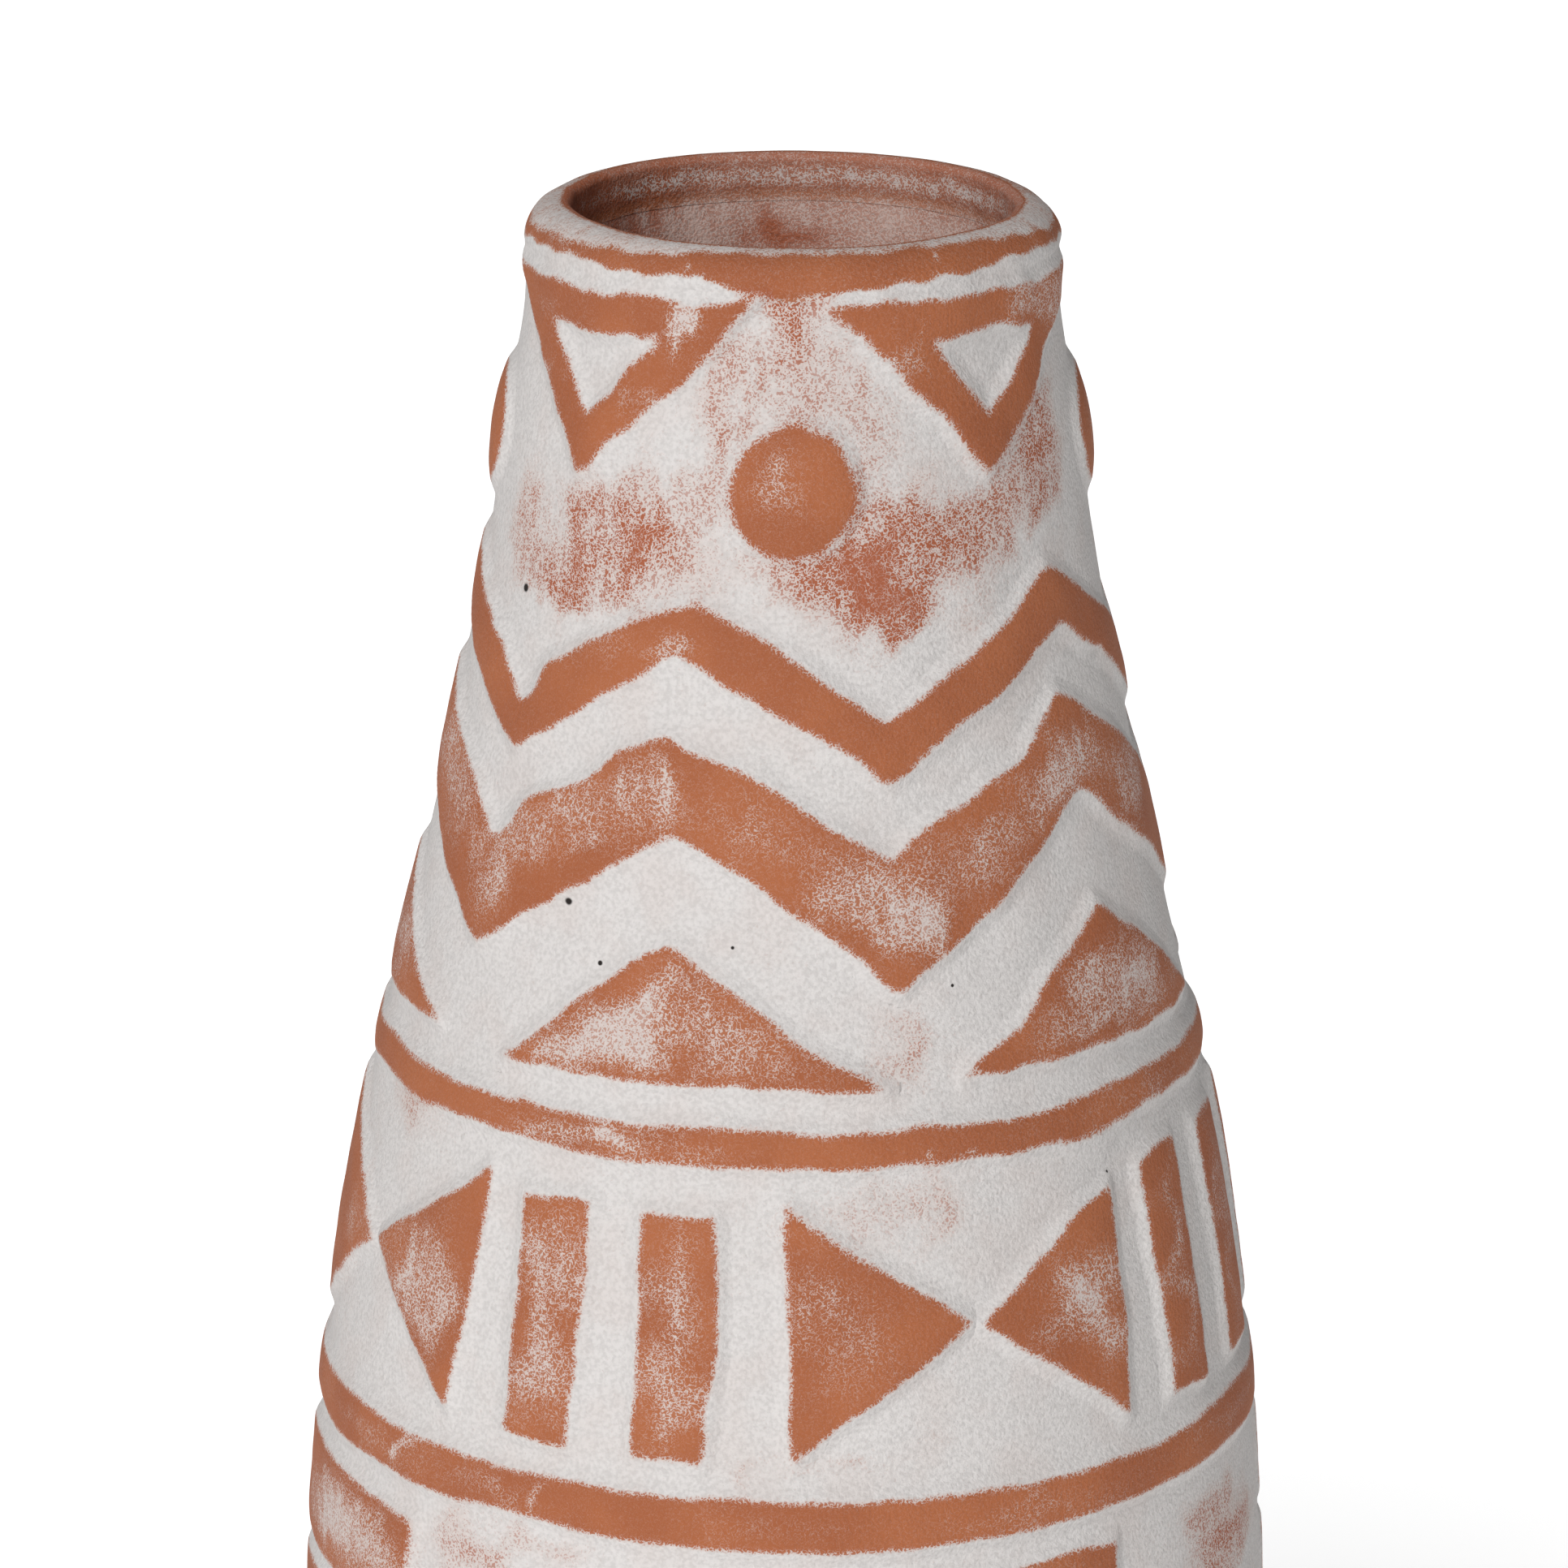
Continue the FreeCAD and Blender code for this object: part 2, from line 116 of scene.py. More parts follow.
# White slip left on the raised faces: angle, height, half width in degrees, half height, and how much.
RESIDUE = (
    (-24.5, 386, 3.5, 6, 0.72), (-23, 388, 1.0, 4.5, 0.9), (-33, 373.5, 4, 3, 0.45),
    (-58, 375, 3, 3, 0.4), (-62, 386, 10, 3, 0.25), (25, 381, 5, 5, 0.42), (58, 388, 8, 3.5, 0.58),
    (72, 386, 9, 5, 0.6), (-2, 361, 7, 6.5, 0.42), (-3, 362, 4, 3, 0.14), (-22, 331.5, 4, 2.5, 0.6),
    (-35, 331, 8, 3, 0.25), (-22, 308, 6, 7, 0.8), (-35, 302, 8, 7, 0.55), (-46, 297, 6, 6, 0.45),
    (-53, 288, 5, 9, 0.68), (-66, 298, 9, 8, 0.5), (-76, 305, 8, 8, 0.5), (-6, 302, 9, 6, 0.4),
    (8, 294, 8, 6, 0.45), (16, 288, 8, 8, 0.68), (22, 284, 5, 4, 0.5), (31, 296, 10, 7, 0.5),
    (45, 304, 8, 6, 0.56), (54, 308, 9, 6, 0.6), (71, 300, 9, 9, 0.6), (-28, 264, 7, 6, 0.8),
    (-22, 268, 6, 6, 0.75), (-10, 267, 9, 7, 0.56), (-18, 275, 5, 5, 0.5), (-36, 261, 4, 3, 0.6),
    (1, 262, 6, 4, 0.35), (54, 269, 11, 8, 0.66), (43, 263, 7, 4, 0.5), (65, 265, 10, 7, 0.54),
    (-76, 268, 8, 8, 0.5), (-31, 248, 11, 3, 0.55), (-25, 248.5, 3, 3.5, 0.85),
    (21, 246.5, 1, 1.5, 0.8), (-14, 248, 6, 3, 0.35), (60, 248, 25, 3, 0.3), (-54, 216, 8, 11, 0.6),
    (-58, 213, 4, 5, 0.4), (-50, 208, 4, 8, 0.4), (-31, 221, 4.2, 16, 0.64), (-31, 205, 4, 9, 0.44),
    (-14.4, 221, 4.6, 15, 0.6), (-14.4, 202, 4.6, 9, 0.48), (8, 216, 8, 12, 0.3), (2, 222, 3, 12, 0.25),
    (40.5, 216.5, 5, 9, 0.64), (37, 218, 6, 5, 0.35), (44, 210, 3, 8, 0.45), (59.3, 216, 3, 20, 0.5),
    (76, 216, 4, 20, 0.42), (-51.5, 185, 0.8, 3, 0.6), (-29, 183, 0.8, 4, 0.55),
    (-60, 183, 14, 3, 0.34), (-36, 183, 8, 3, 0.34), (-2, 183, 10, 3, 0.2), (30, 182, 14, 3, 0.32),
    (70, 183, 16, 3, 0.3), (-58, 163, 8, 7, 0.66), (-72, 160, 9, 8, 0.64), (34, 166, 7, 5, 0.35),
    (-70, 217, 6, 12, 0.4), (100, 300, 12, 10, 0.6), (135, 308, 10, 8, 0.6), (165, 290, 12, 10, 0.6),
    (205, 300, 12, 9, 0.6), (240, 292, 10, 9, 0.6), (126, 268, 10, 7, 0.7), (198, 268, 10, 7, 0.65),
    (270, 268, 9, 7, 0.6), (105, 216, 6, 14, 0.55), (149, 216, 4, 16, 0.6), (166, 216, 4, 16, 0.5),
    (192, 216, 6, 10, 0.4), (216, 217, 6, 9, 0.6), (239, 216, 4, 16, 0.6), (112, 163, 9, 7, 0.6),
    (202, 163, 9, 7, 0.6), (292, 163, 9, 7, 0.5), (22, 138, 12, 8, 0.5), (112, 138, 12, 8, 0.5),
    (202, 138, 12, 8, 0.55), (292, 138, 12, 8, 0.5), (18, 97, 12, 7, 0.6), (90, 97, 12, 7, 0.6),
    (162, 97, 12, 7, 0.6), (234, 97, 12, 7, 0.6), (306, 97, 12, 7, 0.6), (40, 58, 14, 6, 0.5),
    (120, 58, 14, 6, 0.5), (215, 58, 14, 6, 0.5), (300, 58, 14, 6, 0.5), (135, 378, 7, 6, 0.5),
    (90, 360, 5, 6, 0.4), (180, 361, 6, 5, 0.45), (225, 380, 7, 6, 0.5),
)

# How the hand-laid rows drift from a regular layout: angle, height, half width in degrees, half height,
# then sideways in degrees and upwards.
DRIFT = (
    (-45, 358, 9, 5, 0.7, -2.0), (-8, 391, 7, 6, 1.6, 1.8), (-24, 377, 8, 8, 4.0, 0),
    (-33, 368, 6, 6, 1.6, 0), (41, 360, 9, 8, -3.6, 0.0), (50, 367, 6, 6, -2.2, 0),
    (24, 377, 8, 8, -2.6, 0), (20, 389, 14, 4, 0, 0.6), (-20, 389, 14, 4, 0, 0.8),
    (0, 360, 16, 14, 0, -0.9), (18, 320, 12, 6, -2.2, 0), (18, 309, 10, 6, -2.2, -1.8),
    (55, 341, 12, 6, 0.7, 0.9), (-54, 319, 10, 5, 1.2, -2.4), (-18, 331, 9, 4, -3.2, 1.6),
    (-54, 309, 9, 4, 1.8, -0.8), (56, 330, 9, 4, 2, 0.4), (-18, 316, 9, 5, -2.2, -0.6),
    (18, 296, 12, 6, -2.4, 0.8), (54, 318, 10, 5, -1.2, 2.2), (-54, 292, 13, 8, 0, -2.6),
    (18, 275, 10, 7, -2.6, -1.8), (55, 301, 9, 5, 0.6, 2.4), (-46, 258, 9, 8, 3.2, 0),
    (12, 258, 11, 8, 4.6, 0), (26, 258, 9, 8, -2.6, 0), (-62, 258, 8, 8, 2.2, 0),
    (-45, 196, 6, 12, -2.4, 0), (46, 237, 6, 6, -0.8, -4.4), (46, 200, 6, 10, -0.8, 0),
    (24, 217, 5, 5, 0.4, 0), (-49, 165, 8, 14, -2.8, 0), (-54, 136, 8, 12, -2, 0.5),
    (100, 330, 30, 14, 1.6, 0.8), (150, 310, 20, 14, -1.6, -1), (200, 330, 24, 16, 1.4, 1),
    (250, 300, 24, 16, -1.4, -1), (130, 217, 12, 20, 1.2, 0.5), (220, 217, 12, 20, -1.2, -0.5),
    (160, 260, 16, 8, 2.4, 0), (236, 260, 14, 8, -2, 0), (135, 362, 12, 8, 1.2, 1),
    (225, 362, 12, 8, -1.4, -1), (40, 95, 16, 10, 1.5, 0.6), (-60, 60, 20, 10, -1.5, 0.8),
    (150, 160, 14, 14, 1.5, 0), (-110, 160, 14, 14, -1.5, 0.6),
)

# Where a motif's edge bulges outwards: angle, height, half width in degrees, half height and how far.
BULGES = (
    (74, 384, 8, 5, 1.6), (69.5, 323, 2.5, 1.2, -1.6), (-45, 303, 6, 5, 2.0), (-38, 309, 7, 5, 1.0),
    (-29, 314, 6, 4, 0.7), (22, 303, 6, 4, 1.8), (31, 308, 8, 5, 1.4), (-10, 313, 7, 4, 0.3),
    (-48, 326, 6, 4, 2.0), (-40, 331, 8, 4, 1.3), (-28, 337, 6, 4, 0.4), (40, 274, 8, 5, 1.6),
    (-9, 216, 1.6, 20, 0.9), (-74, 300, 8, 6, 1.6), (110, 305, 9, 5, 2), (170, 330, 10, 5, 1.6),
    (215, 300, 9, 5, 1.8),
)

# Where the white groove under the lip is taller or shorter. This table and the next four hold an angle, a
# height, a half width in degrees, a half height and how much.
GROOVE = (
    (-50, 400, 34, 20, 0.8), (-23, 400, 1.5, 20, 0.9), (0, 400, 11, 20, -1.6), (58, 400, 24, 20, 0.9),
    (25, 400, 14, 20, -0.3), (130, 400, 40, 20, 0.6), (220, 400, 40, 20, 0.5),
)

# White flecks on the lip's bare outer edge.
LIP_FLECKS = (
    (32, 396.8, 4, 0.5, 0.5), (-23, 396.6, 0.8, 0.9, 0.8), (74, 396.8, 6, 0.8, 0.4),
    (-60, 397.2, 10, 0.8, 0.3), (150, 397, 5, 0.8, 0.6), (-140, 397, 8, 0.8, 0.4),
)

# Where the white on the lip's crown spreads outwards, where it is worn off, and where the white band inside
# the mouth is thin.
CROWN_SPREAD = (
    (-85, 400, 42, 20, 1.0), (82, 400, 26, 20, 0.9), (-38, 400, 16, 20, 0.3), (150, 400, 20, 20, 0.6),
)
CROWN_WORN = (
    (180, 400, 60, 20, 0.8), (110, 400, 12, 20, 0.4), (-130, 400, 14, 20, 0.3), (22, 400, 8, 20, 0.25),
    (2, 400, 14, 20, 0.2),
)
BAND_WORN = ((-90, 400, 34, 20, 1.0), (90, 400, 16, 20, 0.7), (0, 400, 40, 20, 0.5))

# Where the inside stayed bare clay: angle, height, half width in degrees, half height and how bare.
UNWASHED = (
    (181, 383.5, 9, 4, 0.95), (174, 387, 6, 2.5, 0.4), (-125, 388, 20, 9, 0.5), (-95, 388, 22, 14, 0.8),
    (181, 360, 20, 12, 0.5), (30, 330, 60, 60, 0.3), (120, 300, 60, 40, 0.3),
)

# Small dark or rusty specks fired into the surface: angle, height, radius, and whether it is rusty.
SPECKS = (
    (-59, 336.2, 0.75, 0), (-36.5, 286.3, 0.7, 0), (17.5, 298.6, 0.4, 0), (-29.5, 277, 0.45, 0),
    (12.5, 209.5, 0.55, 1), (-8.7, 282, 0.3, 0), (24.6, 274.3, 0.3, 0), (47.5, 236.4, 0.35, 0),
    (32.3, 327.6, 0.4, 0),
)


# ---------------------------------------------------------------------------------------------------------
# Fields over the surface
# ---------------------------------------------------------------------------------------------------------
def ripple(angle, height, wavelength, seed, waves=16):
    """A smooth random field of about unit size made of waves of one length; it closes after a full turn."""
    rng = np.random.default_rng(seed)
    total = np.zeros(np.broadcast(angle, height).shape)
    for _ in range(waves):
        heading, phase = rng.uniform(0, TURN, 2)
        turns = round(GIRTH / wavelength * math.cos(heading))
        rise = TURN * math.sin(heading) / wavelength
        total += np.cos(turns * np.radians(angle) + rise * height + phase)
    return total / math.sqrt(waves / 2)


def ripples(angle, height, waves):
    """The sum of ripples, each given as its size, wavelength and seed."""
    return sum(size * ripple(angle, height, wavelength, seed) for size, wavelength, seed in waves)


def smooth(t):
    """0 up to t = 0, 1 from t = 1, and an even curve between."""
    t = np.clip(t, 0, 1)
    return t * t * (3 - 2 * t)


def turn_between(a, b):
    """Signed angle from b to a, from -180 to 180."""
    return (a - b + 180) % 360 - 180


def blots(spots, angle, height, seed):
    """The sum of soft spots whose outlines wander."""
    angle = angle + SPOT_SWAY * ripple(angle, height, 14, seed)
    height = height + SPOT_LIFT * ripple(angle, height, 11, seed + 1)
    total = np.zeros(np.broadcast(angle, height).shape)
    for at, level, half_width, half_height, strength in spots:
        across = turn_between(angle, at) / half_width
        up = (height - level) / half_height
        total += strength * np.exp(-((across * across + up * up) ** SPOT_FLATNESS))
    return total


def slip_on_ground(angle, height):
    """Slip cover of the recessed ground: full, but worn thin in places."""
    worn = blots(WORN, angle, height, 40)
    streaks = ripple(angle, height * STREAK_SQUEEZE, 4.5, 45)
    worn = worn * (1 + 0.05 * ripple(angle, height, 5, 42) + 0.06 * streaks)
    worn += ripples(angle, height, ((0.04, 26, 43), (0.015, 7, 44)))
    return SLIP_FULL - worn


def inside_wash(angle, height):
    """The thin milky wash that ran down the inside."""
    wash = WASH_COVER + 0.14 * ripple(angle, height, 30, 80) + 0.1 * ripple(angle, height, 9, 81)
    wash *= 1 - WASH_TOP_LOSS * smooth((height - WALL_TOP + 1.6) / 2.2)
    return np.clip(wash - 0.9 * blots(UNWASHED, angle, height, 82), 0, 1)


def slip_on_outside(angle, height):
    """Slip cover of the ground and, above the wall, of the groove under the lip's bare outer edge."""
    groove_top = WALL_TOP + GROOVE_HEIGHT + 1.1 * blots(GROOVE, angle, LIP_CROWN, 104)
    groove_top += 0.22 * ripple(angle, height, 13, 100)
    groove = smooth((groove_top - height) / GROOVE_FADE + 0.5)
    flecks = blots(LIP_FLECKS, angle, height, 109)
    return LIP_BARE + groove * (slip_on_ground(angle, height) - LIP_BARE) + (1 - groove) * flecks


def slip_on_inside(angle, height):
    """Slip cover inside the mouth: a white band under the lip's edge, a bare one, then a thin milky wash."""
    wander = ripple(angle, height, 13, 101)
    band = np.exp(-(np.abs(height - LIP_CROWN + BAND_DEPTH + 0.3 * wander) / BAND_HALF_WIDTH) ** 3)
    band *= 0.78 + 0.08 * ripple(angle, height, 8, 107) - 0.6 * blots(BAND_WORN, angle, LIP_CROWN, 108)
    return SLIP_NONE + np.maximum(band, 0.2 + 0.65 * inside_wash(angle, height))


def slip_on_face(angle, height, inside):
    """Slip left on a raised face in upright streaks; the face is wiped clean near its edge."""
    left = blots(RESIDUE, angle, height, 50)
    streaks = ripple(angle, height * STREAK_SQUEEZE, 3.4, 54)
    left = left * (1 + 0.04 * ripple(angle, height, 5, 52) + 0.08 * streaks)
    left += 0.03 * ripple(angle, height, 18, 53)
    return SLIP_NONE + np.clip(left, 0, RESIDUE_MOST) * smooth((inside + 0.3) / WIPED_EDGE)


# ---------------------------------------------------------------------------------------------------------
# What the CAD frame says
# ---------------------------------------------------------------------------------------------------------
def node_mesh(name):
    """Vertices in millimetres and triangles of a CAD node, with doubled vertices joined."""
    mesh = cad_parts[name].data
    mesh.calc_loop_triangles()
    points = np.empty(len(mesh.vertices) * 3)
    mesh.vertices.foreach_get("co", points)
    corners = np.empty(len(mesh.loop_triangles) * 3, int)
    mesh.loop_triangles.foreach_get("vertices", corners)
    points = np.round(points.reshape(-1, 3) / MM, 3)
    points, where = np.unique(points, axis=0, return_inverse=True)
    return points, where.reshape(-1)[corners].reshape(-1, 3)


def read_wall_profile():
    """Height and radius of the wall's outer curve, read from the CAD wall."""
    points, corners = node_mesh("body_wall")
    a, b, c = (points[corners[:, i]] for i in range(3))
    normal = np.cross(b - a, c - a)
    middle = (a + b + c) / 3
    size = np.linalg.norm(normal, axis=1) * np.hypot(middle[:, 0], middle[:, 1])
    outward = normal[:, 0] * middle[:, 0] + normal[:, 1] * middle[:, 1] > OUTWARD_SHARE * size
    outer = np.unique(corners[outward])
    radius = np.hypot(points[outer, 0], points[outer, 1])
    order = np.argsort(points[outer, 2])
    low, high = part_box("body_wall")
    levels = np.linspace(low.z / MM, high.z / MM, PROFILE_LEVELS)
    return levels, np.interp(levels, points[outer, 2][order], radius[order])


LEVELS, RADII = read_wall_profile()
SLOPES = np.gradient(RADII, LEVELS)
WALL_BOTTOM, WALL_TOP = LEVELS[0], LEVELS[-1]
WALL_THICKNESS = 7.5
LIP_RADII = np.hypot(*node_mesh("lip_roll")[0][:, :2].T)
LIP_INNER, LIP_OUTER = LIP_RADII.min(), LIP_RADII.max()
LIP_ROUNDING = 1.5
LIP_RIDGE = LIP_INNER + LIP_ROUNDING
LIP_ROLL = LIP_OUTER - LIP_RIDGE
LIP_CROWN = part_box("lip_roll")[1].z / MM
LIP_CENTRE = LIP_CROWN - LIP_ROLL
LIP_SWELL = 2.5         # height over which the wall swells out to the lip


def profile(height):
    """Radius of the wall's outer curve at a height, smooth between the levels read from the CAD wall."""
    height = np.clip(height, WALL_BOTTOM, WALL_TOP)
    i = np.clip(np.searchsorted(LEVELS, height) - 1, 0, len(LEVELS) - 2)
    span = LEVELS[i + 1] - LEVELS[i]
    t = (height - LEVELS[i]) / span
    return (RADII[i] * (1 + 2 * t) * (1 - t) ** 2 + RADII[i + 1] * t * t * (3 - 2 * t)
            + span * SLOPES[i] * t * (1 - t) ** 2 - span * SLOPES[i + 1] * t * t * (1 - t))


def unevenness(angle, height):
    """Slow swells and small tool marks in the hand-finished surface."""
    return ripples(angle, height, WALL_WAVES)


def wall_radius(angle, height):
    """The outside as it was made, from the foot up over the outer roll of the lip."""
    swell = (LIP_OUTER - profile(WALL_TOP)) * smooth((height - WALL_TOP) / LIP_SWELL)
    above = np.clip(height - LIP_CENTRE, 0, LIP_ROLL)
    rolled_in = LIP_ROLL - np.sqrt(LIP_ROLL ** 2 - above ** 2)
    return profile(height) + swell - rolled_in + unevenness(angle, height)


def read_outline(name):
    """The edges round a motif's raised face, as start and end angles and heights."""
    points, corners = node_mesh(name)
    angle = np.degrees(np.arctan2(points[:, 0], -points[:, 1]))
    stands_out = np.hypot(points[:, 0], points[:, 1]) - profile(points[:, 2]) > FACE_LEAST
    face = corners[stands_out[corners].all(axis=1)]
    edges = np.sort(np.concatenate([face[:, [0, 1]], face[:, [1, 2]], face[:, [2, 0]]]), axis=1)
    edges, uses = np.unique(edges, axis=0, return_counts=True)
    rim = edges[uses == 1]
    return angle[rim[:, 0]], points[rim[:, 0], 2], angle[rim[:, 1]], points[rim[:, 1], 2]


def inside_distance(outline, angle, height):
    """Distance along the surface to an outline, positive inside it."""
    angle_a, height_a, angle_b, height_b = outline
    scale = np.radians(1) * profile(height)
    nearest = np.full(angle.shape, np.inf)
    crossings = np.zeros(angle.shape, int)
    for first_angle, first_height, last_angle, last_height in zip(angle_a, height_a, angle_b, height_b):
        ax = turn_between(first_angle, angle) * scale
        bx = ax + turn_between(last_angle, first_angle) * scale
        ay, by = first_height - height, last_height - height
        dx, dy = bx - ax, by - ay
        t = np.clip(-(ax * dx + ay * dy) / np.maximum(dx * dx + dy * dy, 1e-12), 0, 1)
        nearest = np.minimum(nearest, (ax + t * dx) ** 2 + (ay + t * dy) ** 2)
        crosses = (ax > 0) != (bx > 0)
        level = ay - ax * dy / np.where(crosses, dx, 1)
        crossings += crosses & (level > 0)
    return np.sqrt(nearest) * np.where(crossings % 2 == 1, 1, -1)


# ---------------------------------------------------------------------------------------------------------
# Meshes
# ---------------------------------------------------------------------------------------------------------
def to_points(angle, radius, height):
    """Points in metres from angles, radii and heights."""
    turn = np.radians(angle)
    return np.stack([radius * np.sin(turn), -radius * np.cos(turn), height + 0 * radius], axis=-1) * MM


def add_mesh(name, points, faces, material, **looks):
    """A smooth-shaded mesh that carries how it looks, from 0 to about 1, as vertex attributes."""
    mesh = bpy.data.meshes.new(name)
    mesh.vertices.add(len(points))
    mesh.vertices.foreach_set("co", np.ravel(points).astype(np.float32))
    mesh.loops.add(faces.size)
    mesh.loops.foreach_set("vertex_index", np.ravel(faces).astype(np.int32))
    mesh.polygons.add(len(faces))
    mesh.polygons.foreach_set("loop_start", np.arange(0, faces.size, faces.shape[1], dtype=np.int32))
    mesh.update(calc_edges=True)
    mesh.validate()
    mesh.shade_smooth()
    for look, values in looks.items():
        attribute = mesh.attributes.new(look, "FLOAT", "POINT")
        attribute.data.foreach_set("value", np.ravel(values).astype(np.float32))
    piece = bpy.data.objects.new(name, mesh)
    bpy.context.scene.collection.objects.link(piece)
    mesh.materials.append(material)
    return piece


def place(piece, node):
    """The piece stands for a CAD node and moves with the vase."""
    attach(piece, ROOT)
    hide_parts(node)


def grid_faces(rows, columns, close_columns, close_rows=False):
    """Quads of a grid whose vertices are numbered row by row."""
    row = np.arange(rows if close_rows else rows - 1)[:, None]
    column = np.arange(columns if close_columns else columns - 1)[None, :]
    next_row, next_column = (row + 1) % rows, (column + 1) % columns
    corners = [row * columns + column, row * columns + next_column,
               next_row * columns + next_column, next_row * columns + column]
    return np.stack(corners, axis=-1).reshape(-1, 4)


def closed_skin(faces, count):
    """The faces, a back made of the same faces, and a strip that joins their rims."""
    edges = np.concatenate([faces[:, [i, (i + 1) % 4]] for i in range(4)])
    key = edges[:, 0] * count + edges[:, 1]
    reverse = edges[:, 1] * count + edges[:, 0]
    rim = edges[~np.isin(key, reverse)]
    strip = np.stack([rim[:, 1], rim[:, 0], rim[:, 0] + count, rim[:, 1] + count], axis=1)
    return np.concatenate([faces, faces[:, ::-1] + count, strip])


def relief_height(inside, dome, dome_reach):
    """How far the clay stands out, from the flank outside the edge to the soft dome inside it."""
    rise = smooth((inside + FLANK) / (FLANK + SHOULDER)) ** FLANK_CURVE
    sunk = SKIRT * (1 - smooth((inside + FLANK) / HEM))
    return RELIEF * rise - sunk + dome * (1 - np.exp(-np.maximum(inside, 0) / dome_reach))


def nearness(angle, height, at, level, half_width, half_height):
    """1 at a place and fading away from it."""
    return np.exp(-(turn_between(angle, at) / half_width) ** 2 - ((height - level) / half_height) ** 2)


def drifted(angle, height):
    """Where a point would lie if its row had been laid out regularly."""
    sideways, upwards = np.zeros(angle.shape), np.zeros(angle.shape)
    for *place_and_size, side, up in DRIFT:
        weight = nearness(angle, height, *place_and_size)
        sideways += side * weight
        upwards += up * weight
    return angle - sideways, height - upwards


def bulges(angle, height):
    """How far a motif's edge bulges outwards here."""
    total = np.zeros(angle.shape)
    for *place_and_size, out in BULGES:
        total += out * nearness(angle, height, *place_and_size)
    return total


def softened(grid, reach, ring):
    """The grid blurred along both directions by a bell curve, which rounds the corners of an outline."""
    margin = round(3 * reach / RELIEF_STEP)
    steps = np.arange(-margin, margin + 1)
    bell = np.exp(-0.5 * (steps * RELIEF_STEP / reach) ** 2)
    bell /= bell.sum()
    across = np.pad(grid, ((0, 0), (margin, margin)), mode="wrap" if ring else "edge")
    grid = sum(share * across[:, i:i + grid.shape[1]] for i, share in enumerate(bell))
    up = np.pad(grid, ((margin, margin), (0, 0)), mode="edge")
    return sum(share * up[i:i + grid.shape[0]] for i, share in enumerate(bell))


def unsteady(angle, height, seed):
    """How far a hand-cut edge strays."""
    return ripples(angle, height, ((0.4, 34, seed), (0.13, 12, seed + 1)))


def make_relief(node, material, seed, dome=0.3, dome_reach=3.0, rounding=0.55):
    """One raised motif, modelled along its CAD outline with soft flanks and a slightly unsteady edge."""
    outline = read_outline(node)
    heights = np.concatenate([outline[1], outline[3]])
    angles = outline[0]
    middle = math.degrees(math.atan2(np.sin(np.radians(angles)).mean(), np.cos(np.radians(angles)).mean()))
    reach = np.abs(turn_between(angles, middle)).max()
    margin = FLANK + HEM + DRIFT_ROOM
    girth = profile(heights.mean())
    ring = reach > RING_REACH
    if ring:
        columns = round(TURN * girth / RELIEF_STEP)
        angle = np.arange(columns) * 360 / columns
    else:
        reach += math.degrees(margin / girth)
        columns = round(math.radians(2 * reach) * girth / RELIEF_STEP)
        angle = np.linspace(middle - reach, middle + reach, columns)
    low, high = heights.min() - margin, min(heights.max() + margin, LIP_CROWN - LIP_ROLL / 2)
    rows = round((high - low) / RELIEF_STEP)
    height = np.linspace(low, high, rows)
    angle, height = (grid.ravel() for grid in np.meshgrid(angle, height))
    slide, lift = unsteady(angle, height, seed + 1), unsteady(angle, height, seed + 3)
    straight_angle, straight_height = drifted(angle + np.degrees(slide / girth), height + lift)
    inside = inside_distance(outline, straight_angle, straight_height)
    inside = softened(inside.reshape(rows, columns), rounding, ring).ravel() + bulges(angle, height)
    keep = inside > -FLANK - HEM
    faces = grid_faces(rows, columns, ring)
    faces = faces[keep[faces].all(axis=1)]
    used = np.unique(faces)
    number = np.full(len(keep), -1)
    number[used] = np.arange(len(used))
    angle, height, inside = angle[used], height[used], inside[used]
    wall = wall_radius(angle, height)
    front = to_points(angle, wall + relief_height(inside, dome, dome_reach), height)
    back = to_points(angle, wall - BACK, height)
    ragged = inside - 0.15 - 0.07 * ripple(angle, height, 3.0, 70) - 0.08 * ripple(angle, height, 9, 71)
    ground, face = slip_on_outside(angle, height), slip_on_face(angle, height, inside)
    raised = smooth((ragged + 1.0) / 2.0)
    slip = ground + (face - ground) * raised
    rubbed = np.maximum(raised, smooth((height - WALL_TOP - 1) / 2))
    hidden = np.zeros(len(used))
    piece = add_mesh(f"{node}_clay", np.concatenate([front, back]), closed_skin(number[faces], len(used)),
                     material, slip=np.concatenate([slip, hidden]), rubbed=np.concatenate([rubbed, hidden]),
                     wash=np.concatenate([hidden, hidden]))
    place(piece, node)


